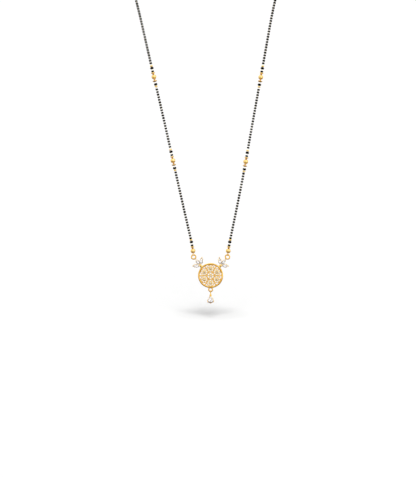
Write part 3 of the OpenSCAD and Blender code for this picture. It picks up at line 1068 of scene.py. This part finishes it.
# %% Rosettes, grains and rim
CAST = 0
BRIGHT = 1
DEEP = 2
COLLET_TOP = 0.75
RAISED_RING_IN = 0.16
BEAD_PRONG_AT = 0.5
GRAIN_UP = 0.1
raised_ring = wire_ring(ROSETTE_RADIUS - RAISED_RING_IN, 0.14, high=0.4)
collet = turned(
    [(0.0, 0.0), (0.62, 0.0), (0.62, 0.66), (0.58, COLLET_TOP), (0.5, COLLET_TOP),
     (0.47, 0.66), (0.47, 0.15), (0.0, 0.15)],
    steps=24, soften=0.03, rounds=2,
)
bead_prong = ball(0.11, around=12, up=8)
inner_grain = ball(0.36)
outer_grain = ball(0.5)
INNER_GRAIN_AT = ROSETTE_AT / math.sqrt(3)
OUTER_GRAIN_AT = 4.8
LINK_GRAIN_AT = 5.74


def add_rosette(shape, plate, place):
    """One rosette: plate, raised ring, collet and the four beads that hold its stone."""
    put(shape, plate, place, CAST)
    put(shape, raised_ring, place, BRIGHT)
    put(shape, collet, place, BRIGHT)
    for turn in (45, 135, 225, 315):
        put(shape, bead_prong, place @ at(0, 0, COLLET_TOP, turn) @ at(BEAD_PRONG_AT, 0), BRIGHT)


pendant = bmesh.new()
add_rosette(pendant, centre_plate, at(0, 0, 0, 90))
for turn in rosette_turns:
    add_rosette(pendant, outer_plate, at(0, 0, 0, turn) @ at(ROSETTE_AT, 0))
for i in range(AROUND):
    gap = at(0, 0, GRAIN_UP, 360 / AROUND * i)
    put(pendant, inner_grain, gap @ at(INNER_GRAIN_AT, 0), BRIGHT)
    put(pendant, outer_grain, gap @ at(OUTER_GRAIN_AT, 0), BRIGHT)
    put(pendant, outer_grain, gap @ at(LINK_GRAIN_AT, 0), BRIGHT)
put(pendant, wire_ring(DISC_RADIUS - RIM_WIRE, RIM_WIRE, sides=18, steps=120), at(0, 0), DEEP)
UNDER_RADIUS = 1.1
UNDER_SUNK = 0.61
UNDER_Y = -(DISC_RADIUS + UNDER_RADIUS + JUMP_WIRE - UNDER_SUNK)
put(pendant, wire_ring(UNDER_RADIUS, JUMP_WIRE, sides=14), at(0, UNDER_Y), DEEP)
print("disc has", len(pendant.faces), "faces so far")

# %% [markdown]
# ## Leaf settings
# Each leaf stone sits in a basket: a rail that follows the stone's outline below its
# girdle, two claws at its sides and one at its tip, all on a stem from the sprig's foot.
# The rail is one ring of edges, extruded and scaled round its section until it meets
# itself. Bridging six rings would be shorter, but a bridge between two long ovals may start
# at the wrong corner and close the opening. The claws are wires that end in a bead.

# %% Rail and claws
CLAW_FOOT = -0.4
CLAW_BEND = 70


def basket_rail(outline, sides=40):
    """A rail whose section is given by rows of (share of the outline, height)."""
    rows = [(1.0, -0.4), (1.12, -0.3), (1.12, -0.12), (1.02, -0.05), (0.84, -0.05), (0.8, -0.4)]
    shape = bmesh.new()
    points = ring_of(shape, outline, sides, 0, *rows[0])
    ring = shape.edges[:]
    for (share, height), (next_share, next_height) in zip(rows, rows[1:] + rows[:1]):
        ring, points = extruded(shape, ring)
        grow = next_share / share
        bmesh.ops.scale(shape, verts=points, vec=(grow, grow, 1))
        bmesh.ops.translate(shape, verts=points, vec=(0, 0, (next_height - height) * MM))
    return form(shape)


def claw(height, radius):
    """A wire that stands up beside a stone at the origin and bends over towards -X."""
    straight = height * 0.55
    curved = height * 0.5
    points = [Vector((0, 0, CLAW_FOOT)) * MM, Vector((0, 0, straight)) * MM]
    radii = [radius * 0.8, radius * 0.85]
    for share in (0.35, 0.7, 1.0):
        bend = math.radians(CLAW_BEND) * share
        lean = radius * 1.3 * (1 - math.cos(bend))
        points.append(Vector((-lean, 0, straight + curved * math.sin(bend))) * MM)
        radii.append(radius * (0.9 + 0.1 * share))
    return drawn(points, radii, sides=12)


def beside(outline, turn, away):
    """A place beside the outline, with its -X towards the stone."""
    step = 0.01
    here = outline_at(*outline, turn)
    way = outline_at(*outline, turn + step) - outline_at(*outline, turn - step)
    out = Vector((way.y, -way.x, 0)).normalized()
    spot = here + out * away
    return at(spot.x, spot.y, 0, math.degrees(math.atan2(out.y, out.x)))


def add_claw(shape, place, top, radius, finish=0):
    """A claw and the bead that ends it."""
    put(shape, claw(top, radius), place, finish)
    put(shape, ball(radius, 0.85, 14, 9), place @ at(-radius * 0.35, 0, top), finish)


# %% Both sprigs
CLAW_RADIUS = 0.16
CLAW_GAP = 0.04
CLAW_TOP = LEAF_UP + 0.22
SIDE_CLAW_TURNS = [math.radians(60), math.radians(300)]
STEM_RADIUS = 0.19
STEM_UP = -0.25
STEM_START = 0.3
STEM_INTO_RAIL = 0.35
SOLDER_IN = 0.5
sprig = bmesh.new()
for leaf in LEAVES.values():
    turn, start, long, wide, tip_radius = leaf
    leaf_outline = (long, wide, LEAF_POINT)
    put(sprig, basket_rail(leaf_outline), leaf_spot(leaf), BRIGHT)
    for claw_turn in SIDE_CLAW_TURNS:
        spot = leaf_spot(leaf) @ beside(leaf_outline, claw_turn, CLAW_RADIUS + CLAW_GAP)
        add_claw(sprig, spot, CLAW_TOP, CLAW_RADIUS, BRIGHT)
    tip = leaf_spot(leaf) @ at(long / 2 + tip_radius + CLAW_GAP, 0)
    add_claw(sprig, tip, CLAW_TOP, tip_radius, BRIGHT)
    stem_line = [Vector((x, 0, STEM_UP)) * MM for x in (STEM_START, start + STEM_INTO_RAIL)]
    stem = drawn(stem_line, STEM_RADIUS, sides=10)
    put(sprig, stem, at(SPRIG_FOOT, SPRIG_FOOT, 0, turn), BRIGHT)
foot_knob = ball(0.75, 0.67, 24, 14)
put(sprig, foot_knob, at(SPRIG_FOOT, SPRIG_FOOT), BRIGHT)
solder_knob = ball(0.85, 0.41, 24, 14)
put(sprig, solder_knob, at(SPRIG_FOOT - SOLDER_IN, SPRIG_FOOT - SOLDER_IN), BRIGHT)
to_foot = math.degrees(math.atan2(SPRIG_FOOT - JUMP_Y, SPRIG_FOOT - JUMP_X))
loop_spot = at(JUMP_X, JUMP_Y, 0, to_foot) @ at(JUMP_RADIUS, 0)
put(sprig, wire_ring(LOOP_RADIUS, LOOP_WIRE, steps=32), loop_spot @ rotation(90, "X"), BRIGHT)
sprig_form = form(sprig)
put(pendant, sprig_form, at(0, 0))
put(pendant, sprig_form, MIRRORED)
bmesh.ops.transform(pendant, matrix=ON_PENDANT, verts=pendant.verts)
piece("pierced_pendant", pendant, [cast_gold, polished_gold, deep_gold], ["pendant_frame"])

# %% [markdown]
# ## The drop
# A pear-shaped stone hangs point up from the ring under the disc. Its tip sits in a
# conical cap on a small loop, and three claws hold its round end. The loop passes through
# the ring, so the drop swings forward and back: all of it rides on its own body.

# %% Drop stone and its basket
DROP_LONG = 4.0
DROP_WIDE = 3.3
DROP_POINT = 1.4
DROP_BACK = 0.18
DROP_GIRDLE = 0.45
PIVOT_Y = UNDER_Y - UNDER_RADIUS
DROP_LOOP = 0.57
CAP_TOP = PIVOT_Y - DROP_LOOP
CAP_LONG = 2.2
CAP_LOW_RADIUS = 0.7
TIP_IN_CAP = 0.25
DROP_MIDDLE = CAP_TOP - CAP_LONG + TIP_IN_CAP - DROP_LONG / 2
drop_outline = (DROP_LONG, DROP_WIDE, DROP_POINT)
on_drop = ON_PENDANT @ at(0, DROP_MIDDLE, -DROP_BACK, 90)
drop_gem = cut_gem(drop_outline, crown=0.5, pavilion=1.1)
gem("pear_stone", drop_gem, on_drop @ at(0, 0, DROP_GIRDLE), "drop_stone", "drop")

basket = bmesh.new()
put(basket, basket_rail(drop_outline, 48), on_drop)
DROP_CLAW_RADIUS = 0.24
DROP_CLAW_TOP = DROP_GIRDLE + 0.32
for claw_turn in (133, 180, 227):
    spot = on_drop @ beside(drop_outline, math.radians(claw_turn), DROP_CLAW_RADIUS + CLAW_GAP)
    add_claw(basket, spot, DROP_CLAW_TOP, DROP_CLAW_RADIUS)
cap = turned(
    [(0, 0.1), (0.24, 0.08), (0.26, -0.1), (0.36, -0.9), (CAP_LOW_RADIUS, -CAP_LONG),
     (0.6, -CAP_LONG), (0.5, -CAP_LONG + 0.4), (0.0, -CAP_LONG + 0.4)],
    steps=32, soften=0.03, rounds=2,
)
put(basket, cap, ON_PENDANT @ at(0, CAP_TOP) @ rotation(-90, "X"))
drop_loop = wire_ring(DROP_LOOP, LOOP_WIRE, steps=32)
put(basket, drop_loop, ON_PENDANT @ at(0, PIVOT_Y) @ rotation(90, "Y"))
piece("drop_basket", basket, [deep_gold], ["drop_setting"], "drop")

# %% [markdown]
# ## The size against the solids
# The finished pieces should stay inside the box of the solids that they stand for. The
# script prints how far each corner of their box lies from the same corner of the solids'.

# %% Print how far the boxes differ
visual_box = [list(corner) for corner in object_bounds()]
for corner, (solid, shown_corner) in enumerate(zip(cad_box, visual_box)):
    print(("low", "high")[corner], "corner off by mm:",
          [round((b - a) / MM, 2) for a, b in zip(solid, shown_corner)])
